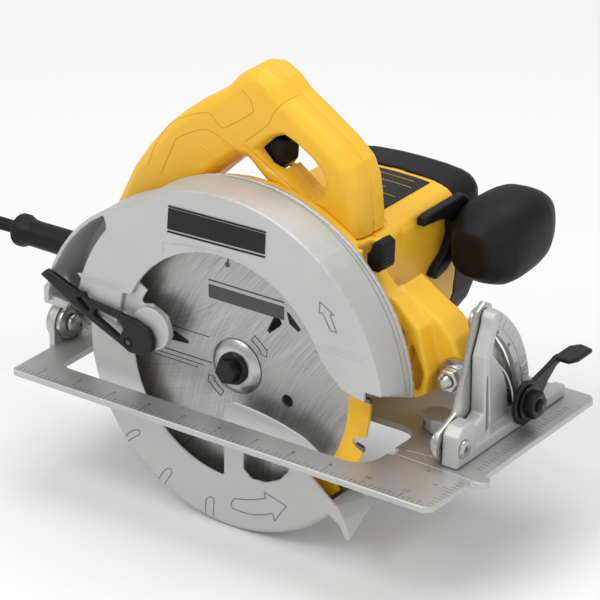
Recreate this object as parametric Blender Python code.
"""Circular saw, 184 mm blade, corded, blade on the left of the motor.

Frame: +X is the front of the saw, +Y points from the blade to the motor, +Z up.
Origin: on the sole (underside) of the shoe, on the runner beside the blade
opening, level with the arbor.  All numbers below are millimetres; the meshes
are made in metres.
"""
import bpy
import bmesh
import math
from mathutils import Vector, Matrix

MM = 0.001

# ---------------------------------------------------------------- dimensions
BLADE_PLANE_Y = 31.0      # blade plane, from the origin on the runner
ARBOR_Z = 28.2            # arbor height over the sole at full depth
BLADE_R = 92.0            # 184 mm blade
BLADE_T = 1.9
ARBOR_BORE_R = 7.95
N_TEETH = 18
SHOE_T = 4.0
SHOE_X0, SHOE_X1 = -134.3, 158.7
SHOE_Y0, SHOE_Y1 = -41.8, 126.3
OPEN_X0, OPEN_X1, OPEN_Y0, OPEN_Y1 = -115.0, 104.0, -22.0, 32.0
BEVEL_Y, BEVEL_Z = 10.0, 15.0         # bevel axis, along X
DEPTH_X, DEPTH_Z = 124.0, 43.0        # depth axis, along Y
UG_R = 110.0                          # upper guard, outer radius
UG_Y0, UG_Y1 = -15.0, 13.5
LG_R = 99.7                           # lower guard, outer radius
LG_Y0, LG_Y1 = -12.0, 11.0
BOLT_Y, BOLT_Z = 70.4, 20.0           # bevel clamp bolt, along X
MOTOR_X, MOTOR_Z = 9.0, 53.7         # armature axis, along Y
HANDLE_Y = 42.0                       # seam plane of the handle
GAP = 0.3
Z_PINION, Z_GEAR = 10, 42

COL = bpy.context.scene.collection
for o in list(bpy.data.objects):
    bpy.data.objects.remove(o, do_unlink=True)

# ----------------------------------------------------------------- materials


def material(name, rgb, rough, metal=0.0):
    m = bpy.data.materials.new(name)
    m.use_nodes = True
    b = m.node_tree.nodes["Principled BSDF"]
    b.inputs["Base Color"].default_value = (*rgb, 1.0)
    b.inputs["Roughness"].default_value = rough
    b.inputs["Metallic"].default_value = metal
    m.diffuse_color = (*rgb, 1.0)
    return m


PALETTE = {
    "yellow": ((0.83, 0.47, 0.03), 0.45, 0.0),
    "black": ((0.02, 0.02, 0.02), 0.5, 0.0),
    "cast": ((0.56, 0.56, 0.54), 0.5, 0.8),
    "alu": ((0.42, 0.42, 0.41), 0.4, 1.0),
    "steel": ((0.45, 0.45, 0.44), 0.35, 1.0),
    "dark_steel": ((0.07, 0.07, 0.07), 0.4, 0.9),
    "copper": ((0.6, 0.25, 0.1), 0.4, 1.0),
    "rubber": ((0.015, 0.015, 0.015), 0.6, 0.0),
    "brass": ((0.6, 0.42, 0.15), 0.35, 1.0),
    "carbon": ((0.03, 0.03, 0.03), 0.8, 0.0),
}

# ------------------------------------------------------------ frame of parts


def empty(name, loc, parent=None):
    e = bpy.data.objects.new(name, None)
    COL.objects.link(e)
    e.location = Vector(loc) * MM
    e.parent = parent
    return e


DATUM = empty("blade_plane_datum", (0, BLADE_PLANE_Y, 0))
AXES = {
    "saw_body": (0, 0, 0),
    "tilt_frame": (DEPTH_X, 0, DEPTH_Z),
    "shoe": (0, BEVEL_Y, BEVEL_Z),
    "lower_guard": (0, 0, ARBOR_Z),
    "spindle": (0, 0, ARBOR_Z),
    "armature": (MOTOR_X, 0, MOTOR_Z),
    "trigger": (-3, HANDLE_Y, 163),
    "lock_button": (75, 28, 108),
    "bevel_lever": (141, BOLT_Y, BOLT_Z),
    "depth_lever": (-69.4, 24, 18),
}

# ------------------------------------------------------------ polygon helpers


def arc(cx, cz, r, a0, a1, n):
    """n+1 points from angle a0 to a1 (degrees) around (cx, cz)."""
    return [(cx + r * math.cos(math.radians(a0 + (a1 - a0) * i / n)),
             cz + r * math.sin(math.radians(a0 + (a1 - a0) * i / n)))
            for i in range(n + 1)]


def circle(cx, cz, r, n):
    return arc(cx, cz, r, 0, 360, n)[:-1]


def area2(p):
    return sum(p[i][0] * p[(i + 1) % len(p)][1] - p[(i + 1) % len(p)][0] * p[i][1]
               for i in range(len(p)))


def ccw(p):
    return list(p) if area2(p) > 0 else list(reversed(p))


def offset(p, d):
    """Move a closed polygon outward by d (inward when negative)."""
    p = ccw(p)
    n = len(p)
    out = []
    for i in range(n):
        a, b, c = Vector(p[i - 1]), Vector(p[i]), Vector(p[(i + 1) % n])
        e0, e1 = (b - a).normalized(), (c - b).normalized()
        n0, n1 = Vector((e0.y, -e0.x)), Vector((e1.y, -e1.x))
        m = (n0 + n1)
        if m.length < 1e-6:
            m = n0
        m.normalize()
        k = max(0.5, m.dot(n0))
        q = b + m * (d / k)
        out.append((q.x, q.y))
    return out


def smooth(p, times=1):
    """Chaikin corner cutting of a closed polygon."""
    for _ in range(times):
        q = []
        for i in range(len(p)):
            a, b = p[i], p[(i + 1) % len(p)]
            q.append((a[0] * .75 + b[0] * .25, a[1] * .75 + b[1] * .25))
            q.append((a[0] * .25 + b[0] * .75, a[1] * .25 + b[1] * .75))
        p = q
    return p


def shrink(p, d):
    """Scale a closed polygon about its middle so each side moves in by d."""
    us, vs = [q[0] for q in p], [q[1] for q in p]
    cu, cv = (min(us) + max(us)) / 2, (min(vs) + max(vs)) / 2
    ku, kv = 1 - 2 * d / (max(us) - min(us)), 1 - 2 * d / (max(vs) - min(vs))
    return [(cu + (u - cu) * ku, cv + (v - cv) * kv) for u, v in p]


def round_rect(x0, z0, x1, z1, r, n=4):
    return (arc(x1 - r, z0 + r, r, -90, 0, n) + arc(x1 - r, z1 - r, r, 0, 90, n) +
            arc(x0 + r, z1 - r, r, 90, 180, n) + arc(x0 + r, z0 + r, r, 180, 270, n))


# --------------------------------------------------------------- mesh makers


def to_xyz(plane, u, v, w):
    if plane == "xz":
        return (u, w, v)
    if plane == "xy":
        return (u, v, w)
    return (w, u, v)          # "yz"


def loft(name, plane, rings):
    """Closed solid through rings: [(w, [(u, v), ...]), ...], equal counts."""
    bm = bmesh.new()
    levels = []
    for w, pts in rings:
        levels.append([bm.verts.new(Vector(to_xyz(plane, u, v, w)) * MM) for u, v in pts])
    n = len(levels[0])
    for a, b in zip(levels[:-1], levels[1:]):
        for i in range(n):
            j = (i + 1) % n
            bm.faces.new((a[i], a[j], b[j], b[i]))
    bm.faces.new(levels[0])
    bm.faces.new(list(reversed(levels[-1])))
    bmesh.ops.recalc_face_normals(bm, faces=bm.faces)
    if bm.calc_volume(signed=True) < 0:
        bmesh.ops.reverse_faces(bm, faces=bm.faces)
    me = bpy.data.meshes.new(name)
    bm.to_mesh(me)
    bm.free()
    o = bpy.data.objects.new(name, me)
    COL.objects.link(o)
    return o


def slab(name, plane, pts, w0, w1, edge=0.0):
    """Extruded polygon from w0 to w1, its two rims broken by edge."""
    pts = ccw(pts)
    if edge:
        q = offset(pts, -edge)
        return loft(name, plane, [(w0, q), (w0 + edge, pts), (w1 - edge, pts), (w1, q)])
    return loft(name, plane, [(w0, pts), (w1, pts)])


def turned(name, axis, cu, cv, prof, n=24):
    """Solid of revolution along an axis. prof: [(w, r), ...] with r > 0."""
    plane = {"y": "xz", "x": "yz", "z": "xy"}[axis]
    return loft(name, plane, [(w, circle(cu, cv, r, n)) for w, r in prof])


def ring(name, axis, cu, cv, r0, r1, w0, w1, n=24):
    """Washer: outer radius r1, inner radius r0."""
    o = turned(name, axis, cu, cv, [(w0, r1), (w1, r1)], n)
    cut(o, turned(name + "_c", axis, cu, cv, [(w0 - 1, r0), (w1 + 1, r0)], n))
    return o


def box(name, x0, y0, z0, x1, y1, z1, edge=0.0):
    return slab(name, "xy", [(x0, y0), (x1, y0), (x1, y1), (x0, y1)], z0, z1, edge)


def bake(o):
    dg = bpy.context.evaluated_depsgraph_get()
    me = bpy.data.meshes.new_from_object(o.evaluated_get(dg))
    o.modifiers.clear()
    o.data = me


def boolean(o, other, op):
    m = o.modifiers.new("b", "BOOLEAN")
    m.operation = op
    m.solver = "EXACT"
    m.object = other
    bpy.context.view_layer.update()
    bake(o)
    bpy.data.objects.remove(other, do_unlink=True)
    return o


def cut(o, *others):
    for c in others:
        boolean(o, c, "DIFFERENCE")
    return o


def join(o, *others):
    for c in others:
        boolean(o, c, "UNION")
    return o


def rotate_about(o, axis, deg, point):
    p = Vector(point) * MM
    m = Matrix.Translation(p) @ Matrix.Rotation(math.radians(deg), 4, axis) @ Matrix.Translation(-p)
    o.data.transform(m)
    return o


def tidy(me):
    bm = bmesh.new()
    bm.from_mesh(me)
    bmesh.ops.remove_doubles(bm, verts=bm.verts, dist=2e-6)
    bmesh.ops.dissolve_degenerate(bm, edges=bm.edges, dist=2e-6)
    bmesh.ops.dissolve_limit(bm, angle_limit=math.radians(0.3), verts=bm.verts, edges=bm.edges)
    bm.to_mesh(me)
    bm.free()


NODES = []


def done(o, body, mat):
    """Give the piece its material, its origin on its body's joint, its parent."""
    tidy(o.data)
    if mat not in bpy.data.materials:
        material(mat, *PALETTE[mat])
    o.data.materials.clear()
    o.data.materials.append(bpy.data.materials[mat])
    org = Vector(AXES[body])
    o.data.transform(Matrix.Translation(-org * MM))
    o.data.shade_smooth()
    o.data.set_sharp_from_angle(angle=math.radians(35))
    o.parent = DATUM
    o.location = org * MM
    NODES.append((o.name, body))
    return o


A = ARBOR_Z

# =================================================================== the shoe
outline = (
    [(SHOE_X0 + 2, SHOE_Y0), (SHOE_X1 - 4, SHOE_Y0), (SHOE_X1, SHOE_Y0 + 4),
     (SHOE_X1 + 1, -3), (162, -1.5), (165, -0.5), (167.5, 1.5), (168, 4), (166.5, 7),
     (164.5, 8), (162.3, 8.5), (162.3, SHOE_Y1 - 4), (158.5, SHOE_Y1),
     (SHOE_X0 + 4, SHOE_Y1), (SHOE_X0, SHOE_Y1 - 4), (SHOE_X0, 24), (-137.3, 23),
     (-137.3, -3), (SHOE_X0, -4), (SHOE_X0, SHOE_Y0 + 2)])
shoe = slab("shoe_plate", "xy", outline, 0, SHOE_T, 0.4)
hole = (
    arc(OPEN_X0 + 8, OPEN_Y0 + 8, 8, 180, 270, 4) + [(88, OPEN_Y0)] +
    arc(88, -6, 16, -80, -12, 4) + [(104, -1.5), (107.5, -1), (107.5, 6), (103.8, 7)] +
    arc(OPEN_X1 - 12, OPEN_Y1 - 12, 12, 0, 90, 4) + arc(OPEN_X0 + 8, OPEN_Y1 - 8, 8, 90, 180, 4))
cut(shoe, slab("c", "xy", hole, -1, 6))
# rear tab, bent up from the plate, carries the rear bevel pin
tab = slab("tab", "yz", [(-3, 0.5), (23, 0.5)] + arc(BEVEL_Y, BEVEL_Z, 13, -10, 190, 12), -137.3, -133.6)
join(shoe, tab)
cut(shoe, turned("c", "x", BEVEL_Y, BEVEL_Z, [(-140, 3.8), (-130, 3.8)], 16))
done(shoe, "shoe", "alu")

# front bevel quadrant: casting with foot, pivot boss, leg and graduated arc
Q0, Q1 = 136.0, 147.0
quad = slab("bevel_quadrant", "yz",
            [(14, 4.3), (117, 4.3), (117, 11.3), (14, 11.3)], 139.0, Q1, 0.6)
boss = slab("q1", "yz", [(3.5, 4.3), (20, 4.3), (23, 12), (23, 24), (20, 28), (9, 28), (4.5, 23)],
            Q0, Q1, 0.8)
leg = slab("q2", "yz", [(20, 9), (40, 9), (40, 25), (38.5, 56), (44, 72), (48, 84), (43, 84), (41, 81), (40, 76),
                        (33, 60), (33, 26), (22, 22)], Q0, Q1 - 1.5, 0.8)
arcp = slab("q3", "yz", [(20, 8)] + arc(BEVEL_Y, BEVEL_Z, 79, -6, 61, 16) + [(43, 84), (41, 77), (33, 60), (33, 26), (20, 20)],
            Q0, 140.0)
join(quad, boss, leg, arcp)
slot = arc(BEVEL_Y, BEVEL_Z, 66.5, 0.5, 56, 14) + arc(BEVEL_Y, BEVEL_Z, 56, 56, 0.5, 14)
cut(quad, slab("c", "yz", slot, Q0 - 2, Q1 + 2))
cut(quad, turned("c", "x", BEVEL_Y, BEVEL_Z, [(Q0 - 2, 4.3), (Q1 + 2, 4.3)], 16))
# relief pocket in the leg, leaves two ribs
cut(quad, slab("c", "yz", [(35, 14), (38, 14), (38, 26), (36.5, 54), (35, 54)], 141, Q1 + 2))
done(quad, "shoe", "cast")

done(turned("front_bevel_pin", "x", BEVEL_Y, BEVEL_Z,
            [(129.0, 6.5), (129.6, 7.4), (132.2, 7.4), (132.21, 4.0), (147.4, 4.0), (147.41, 5.6), (148.6, 5.0)], 16),
     "shoe", "steel")
done(turned("rear_bevel_pin", "x", BEVEL_Y, BEVEL_Z,
            [(-142.2, 9.5), (-141.4, 11.0), (-137.6, 11.0), (-137.59, 3.5), (-129.3, 3.5),
             (-129.29, 5.5), (-127.6, 5.0)], 20), "shoe", "steel")
# rip fence clamp: small die cast block with a thumb screw
rip = slab("rip_fence_clamp", "xy", [(100, 37), (111, 31), (128, 33), (128, 50), (104, 50), (100, 44)], 4.3, 13.5, 0.8)
cut(rip, slab("c", "xy", [(103, 34), (125, 36), (125, 47.5), (103, 47.5)], 3.5, 9.5))
cut(rip, box("c", 95, 38, 3.5, 126, 45, 9.5))
done(rip, "shoe", "cast")

# ============================================================ the tilt frame
plate = slab("front_tilt_bracket", "yz",
             arc(BEVEL_Y, BEVEL_Z, 10.6, 150, 270, 8) +
             [(60, 5.6), (76, 7), (81, 17), (78, 30), (66, 50), (57, 62), (53, 84), (46, 87.5), (39, 84), (30, 56),
              (19, 30), (3, 24)], 132.5, 135.7)
for y0, y1 in ((34.0, 37.0), (60.5, 63.5)):
    ear = slab("ear", "xz", arc(DEPTH_X, DEPTH_Z, 10.5, 90, 270, 10) + [(133.5, 32.5), (133.5, 53.5)], y0, y1)
    join(plate, ear)
cut(plate, turned("c", "y", DEPTH_X, DEPTH_Z, [(30, 4.3), (68, 4.3)], 16))
cut(plate, turned("c", "x", BEVEL_Y, BEVEL_Z, [(130, 4.3), (138, 4.3)], 16))
cut(plate, turned("c", "x", BOLT_Y, BOLT_Z, [(130, 3.9), (138, 3.9)], 16))
cut(plate, turned("c", "x", 46, 76, [(130, 3.4), (138, 3.4)], 12))
done(plate, "tilt_frame", "steel")
done(turned("bracket_stop_rivet", "x", 46, 76, [(128.5, 5.8), (129.2, 6.8), (131.4, 6.8), (132.2, 6.0), (132.21, 3.1), (135.7, 3.1)], 16),
     "tilt_frame", "steel")
# depth pivot: bolt through both ears, nut and washer on the blade side
bolt = turned("depth_pivot_bolt", "y", DEPTH_X, DEPTH_Z, [(23.2, 2.6), (24.0, 3.4), (63.79, 3.4), (63.8, 7.0), (68.2, 7.0), (68.8, 6.2)], 12)
done(bolt, "tilt_frame", "steel")
nut = slab("depth_pivot_nut", "xz", arc(DEPTH_X, DEPTH_Z, 7.2, 0, 360, 6)[:-1], 26.6, 31.6, 0.5)
join(nut, turned("w", "y", DEPTH_X, DEPTH_Z, [(31.0, 8.0), (33.7, 8.0)], 20))
cut(nut, turned("c", "y", DEPTH_X, DEPTH_Z, [(20, 3.75), (40, 3.75)], 12))
done(nut, "tilt_frame", "steel")
# bevel clamp bolt: square shank through the quadrant slot
done(turned("bevel_clamp_bolt", "x", BOLT_Y, BOLT_Z, [(128.4, 6.4), (129.0, 7.2), (132.2, 7.2), (132.21, 3.5), (160.5, 3.5), (161.0, 3.0)], 16),
     "tilt_frame", "dark_steel")
# rear bracket and depth bar (bar is an arc about the depth axis)
rb = slab("rear_tilt_bracket", "yz", arc(BEVEL_Y, BEVEL_Z, 10.2, 205, 268, 5) + [(20, 6), (22, 8), (22, 24)] + arc(BEVEL_Y, BEVEL_Z, 12, 40, 180, 8),
          -133.2, -130.2)
join(rb, slab("f", "xz", [(-133.2, 8), (-98, 8), (-98, 24), (-133.2, 24)], 19.0, 22.0))
cut(rb, turned("c", "x", BEVEL_Y, BEVEL_Z, [(-140, 3.8), (-125, 3.8)], 16))
for xx in (-123.5,):
    cut(rb, turned("c", "y", xx, 16, [(17, 2.4), (24, 2.4)], 10))
done(rb, "tilt_frame", "steel")
RD = 195.0
th0, th1 = -9.6, 20.5
bar = (arc(DEPTH_X, DEPTH_Z, RD + 8, 180 - th0, 180 - th1, 14) +
       arc(DEPTH_X, DEPTH_Z, RD - 8, 180 - th1, 180 - th0, 14))
db = slab("depth_bar", "xz", bar, 22.3, 25.3)
join(db, slab("f", "xz", [(-130, 8.5), (-66, 8.5), (-66, 22), (-80, 23.5), (-130, 23.5)], 22.3, 25.3))
cut(db, slab("c", "xz", arc(DEPTH_X, DEPTH_Z, RD + 3.4, 180 + 8.3, 180 - 18.8, 14) +
             arc(DEPTH_X, DEPTH_Z, RD - 3.4, 180 - 18.8, 180 + 8.3, 14), 20, 28))
for xx in (-123.5,):
    cut(db, turned("c", "y", xx, 16, [(20, 2.4), (28, 2.4)], 10))
done(db, "tilt_frame", "steel")
for xx in (-123.5,):
    done(turned("depth_bar_rivet", "y", xx, 16,
                [(16.8, 3.4), (17.2, 4.0), (18.7, 4.0), (18.71, 2.1), (25.6, 2.1), (25.61, 4.0), (27.2, 3.4)], 10),
         "tilt_frame", "steel")

# ============================================================ the saw body
# upper guard: near wall and rim; R grows towards the rear into the dust chute


def guard_profile(r0, grow, z_front, z_rear, n=34):
    pts = []
    a0 = math.degrees(math.asin((z_front - A) / r0))
    a1 = 172.5
    for i in range(n + 1):
        t = a0 + (a1 - a0) * i / n
        r = r0
        if t > 128:
            s = (t - 128) / (a1 - 128)
            r = r0 + grow * s * (1.6 - 0.6 * s)
        pts.append((r * math.cos(math.radians(t)), A + r * math.sin(math.radians(t))))
    return pts


og = guard_profile(UG_R, 20.5, 34, 40)
ig = guard_profile(UG_R - 2.6, 20.5, 34, 40)
bottom_r = (-104, 40.5)
outer = og + [(-129, 39), bottom_r, (-76, 39), (-73, 52), (-71.5, 60)] + \
    arc(0, 29, 72.5, 155, 22, 18) + [(76, 47), (82, 42), (90, 40), (106, 38)]
ug = slab("upper_guard", "xz", outer, UG_Y0, UG_Y1)
# cavity, open toward the motor side
cav = ig + [(-126.5, 41.6), (-101.4, 38), (-101, 20), (104.5, 20)]
cut(ug, slab("c", "xz", cav, UG_Y0 + 2.6, UG_Y1 + 2))
# dust chute mouth in the near wall, between the wall edge and the outer skin
chute_o = [p for p in ig if math.degrees(math.atan2(p[1] - A, p[0])) > 137]
chute_i = arc(0, A, 107.5, 172, 140, 8)
cut(ug, slab("c", "xz", chute_o + [(-126.5, 38), (-106.5, 38)] + chute_i, UG_Y0 - 2, UG_Y0 + 3.5))
# raised ledge across the rear of the wall and at the front
join(ug, slab("l", "xz", [(-104.5, 62), (-72.5, 62), (-72.5, 64), (-104.5, 64)], UG_Y0 - 0.5, UG_Y0 + 1))
join(ug, slab("l", "xz", [(66, 64), (99, 64), (99, 66), (66, 66)], UG_Y0 - 0.5, UG_Y0 + 1))
# hanging lug at the tail
lug = slab("l", "xz", [(-142, 29), (-126, 29), (-118, 41), (-124, 52), (-133, 50), (-142, 40)], -1.5, 1.5)
cut(lug, turned("c", "y", -137, 34.5, [(-4, 2.2), (4, 2.2)], 12))
join(ug, lug)
cut(ug, slab("c", "yz", [(-22, 0), (-22, 45.5), (-13, 45), (0, 41), (15, 33.5), (15, 0)], 97, 125))
done(ug, "saw_body", "cast")

# back plate of the guard
bp = [p for p in guard_profile(UG_R, 20.5, 34, 40)]
bpoly = bp + [(-129, 39), (-104, 38), (-84, 30), (-80, 12), (-66, 8), (28, 8), (60, 20), (106, 33)]
gb = slab("guard_back_plate", "xz", bpoly, UG_Y1 + GAP, 17.0)
cut(gb, turned("c", "y", 0, A, [(10, 17.5), (20, 17.5)], 28))
cut(gb, turned("c", "y", -69.4, 18, [(10, 3.4), (20, 3.4)], 12))
done(gb, "saw_body", "cast")

# gear case with the front arm
G = [(-45, 24), (-24, 4.7), (24, 4.7), (58, 24), (80, 32), (92, 40), (92, 72), (80, 88), (72, 96), (72, 111.7),
     (-45, 111.7)]
gc = slab("gear_case", "xz", G, 17.3, 40.0)
shelf = arc(0, A, 107, 51.3, 116, 14)
join(gc, slab("s", "xz", shelf + [(-45, 111), (66, 111)], 17.3, 25.7))
arm = slab("a", "xz", [(84, 33), (112, 31), (119, 33.8)] + arc(DEPTH_X, DEPTH_Z, 8, -120, 20, 6) +
           [(127, 52), (121, 63), (112, 71), (98, 79), (84, 88)], 37.3, 60.2, 1.2)
web = slab("a", "xz", [(70, 27), (104, 27), (111, 31), (112.8, 44), (106, 70), (90, 84), (70, 90)], 25, 40.2, 1.0)
join(gc, web)
join(gc, arm)
for poly in ([(80, 34), (92, 33), (96, 66), (82, 76)], [(96, 33), (106, 32.5), (109, 44), (100, 63)]):
    cut(gc, slab("c", "xz", poly, 24, 33))
cut(gc, turned("c", "y", DEPTH_X, DEPTH_Z, [(30, 3.75), (66, 3.75)], 14))
# gear chamber
cut(gc, turned("c", "y", 0, A, [(16, 17.7), (26, 17.7)], 28))
cut(gc, turned("c", "y", 0, A, [(25.2, 22.1), (41, 22.1)], 32), turned("c", "y", MOTOR_X, MOTOR_Z, [(25.2, 14.5), (41, 14.5)], 24))
# pocket behind the spindle lock button
cut(gc, box("c", 66.5, 21.2, 98.2, 75, 35.8, 119))
done(gc, "saw_body", "yellow")

# gear cover: closes the gear chamber, seats the inner spindle bearing
cover = join(turned("gear_cover", "y", 0, A, [(36.4, 21.7), (39.9, 21.7)], 32),
             turned("g", "y", MOTOR_X, MOTOR_Z, [(36.4, 14.1), (39.9, 14.1)], 24))
cut(cover, turned("c", "y", 0, A, [(30, 10.3), (45, 10.3)], 20),
    turned("c", "y", MOTOR_X, MOTOR_Z, [(30, 11.3), (45, 11.3)], 20))
done(cover, "saw_body", "cast")

# motor housing: shell open to the gear case and to the end cap
M_LOW = [(-30, 44), (-22, 24), (-4, 16), (44, 16), (62, 31), (70.4, 52), (70.4, 108), (67.5, 112.4), (-24, 112.4),
         (-30, 100)]
M_FULL = [(-30, 44), (-22, 24), (-4, 16), (44, 16), (62, 31), (70, 52), (70, 104), (66, 112), (54, 115.8),
          (20, 116.4), (-12, 114), (-26, 106), (-30, 94)]
mh = slab("motor_housing", "xz", smooth(M_FULL), 58.4, 118.0)
join(mh, slab("m", "xz", offset(M_LOW, -0.8), 40.3, 60.5))
cut(mh, slab("c", "xz", offset(smooth(M_FULL), -3.2), 61.6, 120))
cut(mh, slab("c", "xz", offset(M_LOW, -4.6), 45.5, 63))
cut(mh, turned("c", "y", MOTOR_X, MOTOR_Z, [(38, 11.3), (50, 11.3)], 20), turned("c", "y", 0, A, [(38, 10.4), (50, 10.4)], 20))
for zz in (46, 56, 66):
    cut(mh, box("c", -34, 100, zz, -24, 114, zz + 4))
done(mh, "saw_body", "yellow")

# end cap: black, carries the rear bearing, the brushes and the air slots
ec0 = ccw(smooth([(-29, 46), (-21, 24), (-3, 16), (45, 16), (62, 31), (69, 50), (69.5, 104), (65, 112.5), (54, 116),
                  (20, 117), (-12, 114.5), (-26, 106), (-30, 94)]))
cap = loft("motor_end_cap", "xz", [(118.3, ec0), (140, ec0), (146, shrink(ec0, 2.5)), (150, shrink(ec0, 8))])
cut(cap, slab("c", "xz", shrink(ec0, 3.5), 116, 136))
cut(cap, turned("c", "y", MOTOR_X, MOTOR_Z, [(130, 12.0), (144, 12.0)], 20))
for k in range(4):
    for sx in (-1, 1):
        xa = 20 + sx * 34
        cut(cap, box("c", xa - 8, 132, 48 + 11 * k, xa + 8, 152, 52.5 + 11 * k))
done(cap, "saw_body", "black")

# pommel bracket and grip
pb = slab("pommel_bracket", "yz", [(74, 107), (74, 112), (80, 113), (116, 113), (121, 109), (122, 92), (114, 80), (98, 71),
                                   (88, 69), (85, 72), (88, 76), (98, 82), (104, 91), (103, 101), (94, 105)], 70.3, 76.5, 0.8)
join(pb, turned("n", "x", 112, 94, [(75, 9.5), (84, 9.5)], 16))
done(pb, "saw_body", "black")
rings = []
for i in range(9):
    t = -1 + 2 * i / 8
    s = (1 - abs(t) ** 3.2) ** 0.5 if abs(t) < 1 else 0
    s = max(s, 0.5)
    k = 1 - 0.06 * t
    rings.append((125.5 + 33.5 * t,
                  [(97.5 + 2.5 * t + 23.0 * k * s * abs(math.cos(a)) ** 0.75 * (1 if math.cos(a) > 0 else -1),
                    90.5 + 2.5 * t + 25.0 * k * s * abs(math.sin(a)) ** 0.75 * (1 if math.sin(a) > 0 else -1))
                   for a in [2 * math.pi * j / 24 for j in range(24)]]))
pg = loft("pommel_grip", "xz", rings)
cut(pg, box("c", 60, 80, 60, 76.8, 170, 130))
cut(pg, turned("c", "x", 112, 94, [(70, 9.8), (84.3, 9.8)], 16))
done(pg, "saw_body", "black")

# handle halves ---------------------------------------------------------
HP = [(-126, 36), (-127.5, 56), (-119, 75), (-107.5, 97), (-98, 116), (-86, 133), (-72, 149), (-60, 160), (-47, 170),
      (-36, 177), (-28, 183), (-22, 190), (-14, 196), (-4, 197.5), (6, 192), (13, 185), (26, 177), (47, 163),
      (57, 154), (61.5, 143), (63, 132), (64, 120), (64, 112), (28, 112), (14, 121), (-3, 132), (-14, 141.5),
      (-20, 141.5), (-32, 131), (-50, 114), (-63, 96), (-70, 79), (-68, 69), (-58, 64), (-45.3, 64), (-45.3, 36)]
H1 = [(-5, 150), (4, 159), (12, 162.5), (20, 159.5), (31, 153), (38, 146.5), (40, 139), (37, 132), (30, 128),
      (24, 130.5), (18, 135.5), (10, 141), (2, 143)]


def flat_ends(p, q):
    """Keep the base edges of the handle where they are while its skin insets."""
    out = []
    for a, b in zip(p, q):
        x, z = b
        if a[1] <= 36.01:
            z = a[1]
        if abs(a[1] - 112) < 0.01:
            z = a[1]
        if abs(a[0] + 45.3) < 0.01:
            x = a[0]
        out.append((x, z))
    return out


def handle_half(name, ys):
    P = ccw(HP)
    lv = [(ys[0], 6.0), (ys[1], 2.4), (ys[2], 0.0), (ys[3], 0.0)]
    h = loft(name, "xz", [(y, flat_ends(P, offset(P, -d))) for y, d in lv])
    H = ccw(H1)
    hl = [(ys[0] - (ys[2] - ys[0]) * .2, 3.4), (ys[0], 3.0), (ys[1], 1.2), (ys[2], 0.0),
          (ys[3] + (ys[3] - ys[2]) * .1, 0.0)]
    cut(h, loft("c", "xz", [(y, offset(H, d)) for y, d in hl]))
    # cavity, open at the seam
    c = slab("c", "xz", offset(P, -3.4), *sorted((ys[2] - (0.9 if ys[2] < HANDLE_Y else -0.9), ys[3] + (1 if ys[3] <= HANDLE_Y else -1))))
    cut(c, slab("d", "xz", offset(H, 3.2), 0, 90))
    cut(h, c)
    # room for the trigger, the cord and the screws
    cut(h, slab("c", "xz", [(-17, 138), (1, 133.5), (9, 139), (14, 150), (12, 166), (-4, 166), (-16, 156)], 33.2, 50.8))
    cut(h, turned("c", "x", 42, 47, [(-132, 9.2), (-119, 9.2)], 20))
    return h


done(handle_half("handle_half_near", [26.0, 28.6, 32.6, HANDLE_Y - 0.15]), "saw_body", "yellow")
hf = handle_half("handle_half_far", [58.0, 55.4, 51.4, HANDLE_Y + 0.15])
# the bar under the trigger is slimmer than the handle
cut(hf, slab("c", "xz", [(-17, 143), (0, 151), (12, 142), (24, 134), (34, 133), (30, 124), (23, 112.6), (14, 117), (-6, 130), (-19, 139)], 46.6, 62))
done(hf, "saw_body", "yellow")

# trigger, switch and return spring
TP = [(-13, 145), (-4.5, 154.5), (3, 158), (9.5, 156.5), (8, 149), (7.5, 142), (3.5, 136.6), (-2, 135.6), (-9.5, 139.5)]
tr = slab("trigger", "xz", TP, 34.0, 50.0, 1.6)
join(tr, slab("t", "xz", [(-6.5, 150), (0, 156), (1, 164.5), (-3, 167), (-6.5, 164)], 36, 48))
cut(tr, turned("c", "y", -3, 163, [(30, 1.7), (60, 1.7)], 10))
done(tr, "trigger", "black")
done(turned("trigger_pin", "y", -3, 163, [(33.5, 1.4), (50.5, 1.4)], 10), "saw_body", "steel")
done(box("switch_body", -44, 35, 146, -26, 49, 162, 0.6), "saw_body", "black")

# strain relief: tapered rubber sleeve round the cord
CORD_Z, CORD_R = 47.0, 4.0
sr = turned("strain_relief", "x", 42, CORD_Z,
            [(-196, 9.3), (-194.5, 10.2), (-190.5, 10.2), (-187, 8.6), (-183, 8.2), (-132, 8.7), (-128.0, 8.9),
             (-119.5, 8.9)], 20)
cut(sr, turned("c", "x", 42, CORD_Z, [(-197, 4.3), (-121, 4.3)], 12))
done(sr, "saw_body", "rubber")

# lock button of the spindle
lk = slab("lock_button", "xz", [(72.3, 99), (80, 99), (83.5, 102), (84, 116), (80, 118.5), (76, 116), (74, 110), (72.3, 109)],
          22.0, 35.0, 1.0)
done(lk, "lock_button", "black")

# ======================================================== spindle and blade
sp = turned("spindle", "y", 0, A, [(1.25, 7.6), (6.0, 7.6), (6.01, 9.5), (16.8, 9.5), (16.81, 7.9), (25.4, 7.9),
                                   (25.41, 9.0), (36.0, 9.0), (36.01, 5.9), (44, 5.9)], 20)
cut(sp, turned("c", "y", 0, A, [(0, 3.4), (14, 3.4)], 12))
done(sp, "spindle", "steel")
inner = turned("inner_flange", "y", 0, A, [(1.3, 17.0), (4.5, 17.0), (5.9, 12.0)], 24)
cut(inner, turned("c", "y", 0, A, [(0, 7.9), (8, 7.9)], 20))
done(inner, "spindle", "steel")


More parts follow.
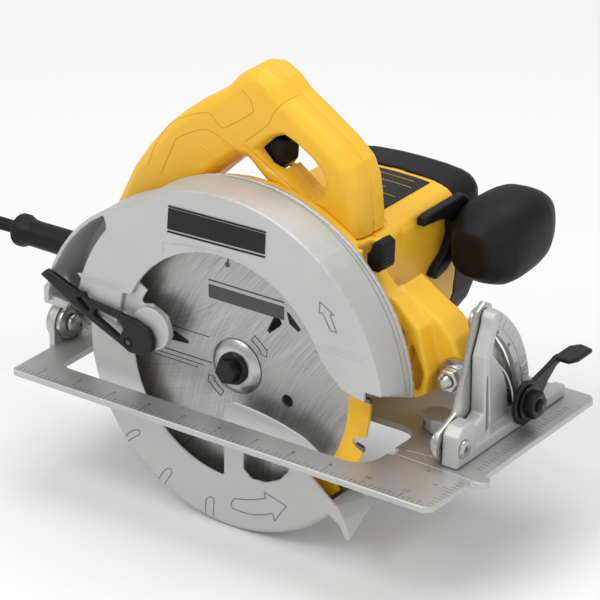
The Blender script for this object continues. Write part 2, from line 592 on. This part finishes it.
def blade_outline():
    pts = []
    n = N_TEETH
    for i in range(n):
        a = 360.0 * i / n + 1.9
        # tooth tip leads in the cutting direction (+angle, teeth rise at the front)
        for da, r in ((0.0, BLADE_R), (0.6, BLADE_R - 8.0), (1.9, BLADE_R - 8.9), (3.2, BLADE_R - 8.4),
                      (5.8, BLADE_R - 1.2), (13.0, BLADE_R - 0.7), (19.6, BLADE_R - 0.2)):
            t = math.radians(a + da)
            pts.append((r * math.cos(t), A + r * math.sin(t)))
    return pts


bl = slab("blade", "xz", blade_outline(), -BLADE_T / 2, BLADE_T / 2)
cut(bl, turned("c", "y", 0, A, [(-4, ARBOR_BORE_R), (4, ARBOR_BORE_R)], 20))
for k in range(3):
    for poly in ([(27.5, 70), (31.5, 63.5), (30, 61.5), (22.5, 55), (21, 56.5)],
                 [(34.5, 72), (36.5, 71.5), (44.5, 63.5), (42.5, 61.5), (36.5, 65)]):
        c = slab("c", "xz", poly, -4, 4)
        rotate_about(c, "Y", 120 * k, (0, 0, A))
        cut(bl, c)
cut(bl, turned("c", "y", 35, 16, [(-4, 4.0), (4, 4.0)], 14))
done(bl, "spindle", "steel")
of_ = turned("outer_flange", "y", 0, A, [(-4.4, 11.5), (-4.0, 13.5), (-1.9, 17.0), (-1.25, 17.0)], 28)
cut(of_, turned("c", "y", 0, A, [(-8, 4.0), (2, 4.0)], 12))
done(of_, "spindle", "steel")
bb = turned("blade_bolt", "y", 0, A, [(-7.0, 9.2), (-6.2, 9.8), (-4.7, 9.8), (-4.69, 3.1), (12.0, 3.1)], 20)
join(bb, slab("h", "xz", arc(0, A, 7.6, 12, 372, 6)[:-1], -13.2, -6.5, 0.6))
done(bb, "spindle", "dark_steel")


def gear(name, cx, cz, n, r_root, r_tip, y0, y1, phase=0.0):
    pts = []
    for i in range(n):
        for f, r in ((-0.30, r_root), (-0.16, r_tip), (0.16, r_tip), (0.30, r_root)):
            t = 2 * math.pi * (i + f) / n + phase
            pts.append((cx + r * math.cos(t), cz + r * math.sin(t)))
    return slab(name, "xz", pts, y0, y1)


sg = gear("spindle_gear", 0, A, Z_GEAR, 20.0, 21.6, 26.5, 35.2)
cut(sg, turned("c", "y", 0, A, [(20, 9.3), (40, 9.3)], 20))
done(sg, "spindle", "steel")
done(ring("spindle_bearing_outer", "y", 0, A, 8.2, 17.4, 17.6, 24.9, 20), "saw_body", "steel")
done(ring("spindle_bearing_inner", "y", 0, A, 6.2, 10.0, 36.6, 43.8, 16), "saw_body", "steel")

# ============================================================= the armature
sh = turned("armature_shaft", "y", MOTOR_X, MOTOR_Z, [(25.8, 3.2), (36.8, 3.2), (36.81, 5.0), (126, 5.0), (126.01, 4.0), (141, 4.0)], 12)
pin = gear("p", MOTOR_X, MOTOR_Z, Z_PINION, 3.6, 4.75, 26.4, 35.4)
join(sh, pin)
done(sh, "armature", "steel")
core = ring("armature_core", "y", MOTOR_X, MOTOR_Z, 5.3, 20.5, 72, 108, 24)
done(core, "armature", "copper")
done(ring("commutator", "y", MOTOR_X, MOTOR_Z, 5.3, 12.0, 111, 124, 16), "armature", "copper")
fan = turned("cooling_fan", "y", MOTOR_X, MOTOR_Z, [(56.0, 9.0), (57.5, 31.0), (59.0, 31.0)], 24)
for k in range(8):
    b = box("b", MOTOR_X + 12, 58.5, MOTOR_Z - 0.8, MOTOR_X + 29, 66, MOTOR_Z + 0.8)
    rotate_about(b, "Y", 45 * k, (MOTOR_X, 0, MOTOR_Z))
    join(fan, b)
cut(fan, turned("c", "y", MOTOR_X, MOTOR_Z, [(50, 5.3), (70, 5.3)], 12))
done(fan, "armature", "black")
done(ring("armature_bearing_front", "y", MOTOR_X, MOTOR_Z, 5.3, 11.0, 38.0, 45.2, 16), "saw_body", "steel")
done(ring("armature_bearing_rear", "y", MOTOR_X, MOTOR_Z, 4.3, 11.7, 133.0, 140.5, 16), "saw_body", "steel")
st = slab("field_stator", "xz", round_rect(MOTOR_X - 31.5, MOTOR_Z - 31.5, MOTOR_X + 31.5, MOTOR_Z + 31.5, 25, 5), 74, 106)
cut(st, turned("c", "y", MOTOR_X, MOTOR_Z, [(70, 21.3), (110, 21.3)], 28))
done(st, "saw_body", "steel")
for s, nm in ((-1, "low"), (1, "high")):
    z0, z1 = sorted((MOTOR_Z + s * 18.5, MOTOR_Z + s * 31))
    h = box("brush_holder_" + nm, MOTOR_X - 6.5, 112.5, z0, MOTOR_X + 6.5, 123, z1)
    cut(h, box("c", MOTOR_X - 3.4, 114.4, z0 - 1, MOTOR_X + 3.4, 121.2, z1 + 1))
    done(h, "saw_body", "brass")
    z0, z1 = sorted((MOTOR_Z + s * 12.35, MOTOR_Z + s * 27))
    done(box("carbon_brush_" + nm, MOTOR_X - 3.1, 114.7, z0, MOTOR_X + 3.1, 120.9, z1), "saw_body", "carbon")

# ============================================================= lower guard


def lg_level(y, r):
    return (y, arc(0, A, r, -39, -213, 44) + arc(0, A, 66.5, -213, -39, 44))


lg = loft("lower_guard", "xz", [lg_level(LG_Y0, LG_R - 3.0), lg_level(LG_Y0 + 1.0, LG_R - 1.2),
                                lg_level(LG_Y0 + 3.0, LG_R), lg_level(LG_Y1, LG_R)])
# hollow channel between the two walls, open to the middle
cut(lg, slab("c", "xz", arc(0, A, LG_R - 2.0, -30, -222, 44) + arc(0, A, 40, -222, -30, 22), LG_Y0 + 1.8, LG_Y1 - 1.8))
# web of the near wall with its rounded window
webp = [(-2.5, -42), (-2.5, 4), (0, 9), (5, 11.3), (13, 11), (26, 9.5), (40, 7), (54, 3), (63, -2), (66, -8), (63, -13),
        (55, -15), (47, -22), (30, -36), (12, -43)]
wb = slab("w", "xz", webp, LG_Y0, LG_Y0 + 1.8)
join(lg, wb)
cut(lg, slab("c", "xz", [(12, -14), (20, -10), (34, -11), (43, -16), (43, -22), (37, -29), (27, -34), (17, -34.5),
                         (11.5, -30)], LG_Y0 - 1, LG_Y0 + 3))
# boss that carries the lever, on a short web
join(lg, slab("w", "xz", [(-70, 34), (-58, 27), (-46, 30), (-38, 40), (-41, 52), (-52, 57), (-67, 54)], LG_Y0, LG_Y0 + 1.8))
join(lg, turned("b", "y", -51.5, 42.5, [(LG_Y0 - 3.3, 13.4), (LG_Y0 + 1, 13.4)], 24))
# angled front lip
lip = loft("lip", "xz", [
    (LG_Y0, [(72.3, -31.8), (76.5, -33.5), (82, -41), (86.5, -53), (83.5, -54.5), (78.5, -45.5), (72, -41.5), (66, -39)]),
    (LG_Y1, [(72.3, -31.8), (76.5, -33.0), (81, -36.5), (84.5, -42), (82, -44), (77.5, -40.5), (72, -40), (66, -39)])])
join(lg, lip)
done(lg, "lower_guard", "cast")

LEV_Y0, LEV_Y1 = -19.8, -15.6
lever = slab("guard_lever", "xz",
             [(-129, 58), (-124.5, 62), (-119, 60.5), (-101, 54), (-97, 54.5), (-95, 51), (-60, 47.5), (-50, 44), (-46.5, 38),
              (-47, 31), (-54, 26), (-64, 25.5), (-71, 29), (-92, 38), (-108, 46)], LEV_Y0, LEV_Y1, 0.7)
cut(lever, slab("c", "xz", [(-103, 50), (-94, 43.5), (-92, 45), (-97, 52)], -25, -10))
cut(lever, slab("c", "xz", [(-90, 42.5), (-71, 33), (-68, 40), (-72, 44.5), (-88, 47)], -25, -10))
cut(lever, turned("c", "y", -64.5, 32, [(-25, 3.0), (-10, 3.0)], 12))
done(lever, "lower_guard", "black")
done(turned("guard_lever_screw", "y", -64.5, 32, [(-19.7, 1.6), (-19.5, 2.7), (LG_Y0 - 0.3, 2.7)], 12), "lower_guard", "dark_steel")

# ================================================================== levers
bv = slab("bevel_lever", "yz", arc(BOLT_Y, BOLT_Z, 13.5, 95, 300, 12) + [(80, 12), (92, 25), (101, 31), (101, 36.5), (90, 34), (77, 31.5)],
          147.6, 150.6, 0.5)
join(bv, box("t", 142.5 + 5.1, 99.5, 31.2, 150.6, 104, 36.5))
join(bv, slab("t", "xy", [(147.6, 101), (158, 101), (161, 107), (161, 122), (152, 124), (147.6, 118)], 33.2, 36.2, 0.5))
cut(bv, turned("c", "x", BOLT_Y, BOLT_Z, [(140, 3.9), (155, 3.9)], 14))
done(bv, "bevel_lever", "dark_steel")
bn = slab("bevel_clamp_nut", "yz", arc(BOLT_Y, BOLT_Z, 8.2, 0, 360, 6)[:-1], 152.0, 158.5, 0.6)
join(bn, turned("w", "x", BOLT_Y, BOLT_Z, [(150.9, 10.5), (152.4, 10.5)], 20))
cut(bn, turned("c", "x", BOLT_Y, BOLT_Z, [(149, 3.9), (162, 3.9)], 12))
done(bn, "bevel_lever", "dark_steel")

# depth clamp: bolt from the back plate through the bar, lever on the far side
done(turned("depth_clamp_bolt", "y", -69.4, 18, [(11.6, 5.4), (12.2, 6.0), (13.5, 6.0), (13.51, 3.0), (33.5, 3.0)], 12),
     "saw_body", "steel")
dl = slab("depth_lever", "xz", arc(-69.4, 18, 9, -70, 110, 8) + [(-84, 25.5), (-112, 30.5), (-117, 28), (-112, 23.5), (-84, 14)],
          25.9, 30.4, 0.7)
cut(dl, turned("c", "y", -69.4, 18, [(20, 3.4), (40, 3.4)], 12))
done(dl, "depth_lever", "dark_steel")

# ================================================= cord, coil, plug (laid off)
FLOOR_Z = A - LG_R          # the guard's rim is the lowest point of the saw


def catmull(pts, n):
    out = []
    P = [Vector(p) for p in pts]
    P = [P[0] * 2 - P[1]] + P + [P[-1] * 2 - P[-2]]
    for i in range(1, len(P) - 2):
        for j in range(n):
            t = j / n
            out.append(0.5 * ((2 * P[i]) + (P[i + 1] - P[i - 1]) * t +
                              (2 * P[i - 1] - 5 * P[i] + 4 * P[i + 1] - P[i + 2]) * t * t +
                              (3 * P[i] - P[i - 1] - 3 * P[i + 1] + P[i + 2]) * t ** 3))
    out.append(P[-2])
    return out


COIL_X, COIL_Y = -312.0, -10.3
PITCH, LAYER = 8.3, 8.1               # between turns, between layers
COIL_R = (44 - PITCH, 44.0, 44 + PITCH)
COIL_IN, COIL_OUT = COIL_R[0] - 4.3, COIL_R[2] + 4.3
LAY_Z = FLOOR_Z + CORD_R + 0.15
COIL_TOP = LAY_Z + 2 * LAYER + CORD_R + 0.05


def fall(length, bend, n=60):
    """Cord that leaves level, bends down and lands level: (run, drop) points."""
    x, z, out = 0.0, 0.0, [(0.0, 0.0)]
    for i in range(n):
        psi = bend * math.sin(math.pi * (i + 0.5) / n) ** 2
        x += math.cos(psi) * length / n
        z += math.sin(psi) * length / n
        out.append((x, z))
    return out


def solve_fall(run, drop):
    """Length and steepest angle of the fall that covers run and drop."""
    length, bend = run + drop * 0.6, 1.4
    for _ in range(60):
        x, z = fall(length, bend)[-1]
        length += 0.5 * ((run - x) + (drop - z)) * 0.5
        bend += 0.004 * ((drop - z) - (run - x)) * 0.5
    return length, bend


FALL_X0 = -206.0
fl, fb = solve_fall(FALL_X0 - COIL_X, CORD_Z - LAY_Z)
route = [(-196.3, 42.0, CORD_Z), (-201.0, 42.0, CORD_Z)] + [(FALL_X0 - x, 42.0, CORD_Z - z) for x, z in fall(fl, fb)]
print("fall", fl, fb, route[-1])
keep, left = [route[0]], 0.0
for p, q in zip(route[:-1], route[1:]):
    left += (Vector(q) - Vector(p)).length
    reach = math.hypot(q[0] - COIL_X, q[1] - COIL_Y)
    if reach < COIL_OUT + CORD_R + 1.2 and q[2] - CORD_R < COIL_TOP + 1.2:
        break
    if left > 7.5:
        keep.append(q)
        left = 0.0
cu = bpy.data.curves.new("cord_run", "CURVE")
cu.dimensions = "3D"
cu.bevel_depth = CORD_R * MM
cu.bevel_resolution = 2
cu.use_fill_caps = True
spl = cu.splines.new("POLY")
spl.points.add(len(keep) - 1)
for pnt, q in zip(spl.points, keep):
    pnt.co = (*(Vector(q) * MM), 1.0)
co = bpy.data.objects.new("cord_run", cu)
COL.objects.link(co)
co.parent = DATUM
cu.materials.append(bpy.data.materials["rubber"])
done(ring("cord_coil", "z", COIL_X, COIL_Y, COIL_IN, COIL_OUT, FLOOR_Z, COIL_TOP, 36), "saw_body", "rubber")

# plug: moulded two-blade plug with its own tapered neck, lying on the coil
PLUG_X, PLUG_Y0, PLUG_Z = COIL_X - 34.0, COIL_Y + 2.5, COIL_TOP + 0.3 + 8.0
plug = loft("plug_body", "xz", [(PLUG_Y0 - y, [(PLUG_X + w * math.copysign(abs(math.cos(t)) ** e, math.cos(t)),
                                                PLUG_Z + h * math.copysign(abs(math.sin(t)) ** e, math.sin(t)))
                                               for t in [2 * math.pi * (j + 0.5) / 20 for j in range(20)]])
                                for y, w, h, e in ((0, 4.9, 4.9, 1.0), (18, 6.0, 5.6, 1.0), (22, 9.5, 7.0, 0.8), (28, 11.5, 8.0, 0.6),
                                                   (50, 11.5, 8.0, 0.5), (52, 10.5, 7.2, 0.5))])
cut(plug, turned("c", "y", PLUG_X, PLUG_Z, [(PLUG_Y0 + 2, 4.3), (PLUG_Y0 - 16, 4.3)], 12))
for s in (-1, 1):
    cut(plug, box("c", PLUG_X + s * 6.35 - 1.05, PLUG_Y0 - 60, PLUG_Z - 3.45, PLUG_X + s * 6.35 + 1.05, PLUG_Y0 - 44, PLUG_Z + 3.45))
done(plug, "saw_body", "rubber")
for s, nm in ((-1, "a"), (1, "b")):
    done(box("plug_blade_" + nm, PLUG_X + s * 6.35 - 0.75, PLUG_Y0 - 68, PLUG_Z - 3.15, PLUG_X + s * 6.35 + 0.75, PLUG_Y0 - 44.3, PLUG_Z + 3.15, 0.3),
         "saw_body", "brass")

print("nodes", len(NODES))
tot = 0
for name, body in NODES:
    me = bpy.data.objects[name].data
    t = sum(len(p.vertices) - 2 for p in me.polygons)
    tot += t
    if t > 500:
        print("  tris", name, t)
print("total", tot)
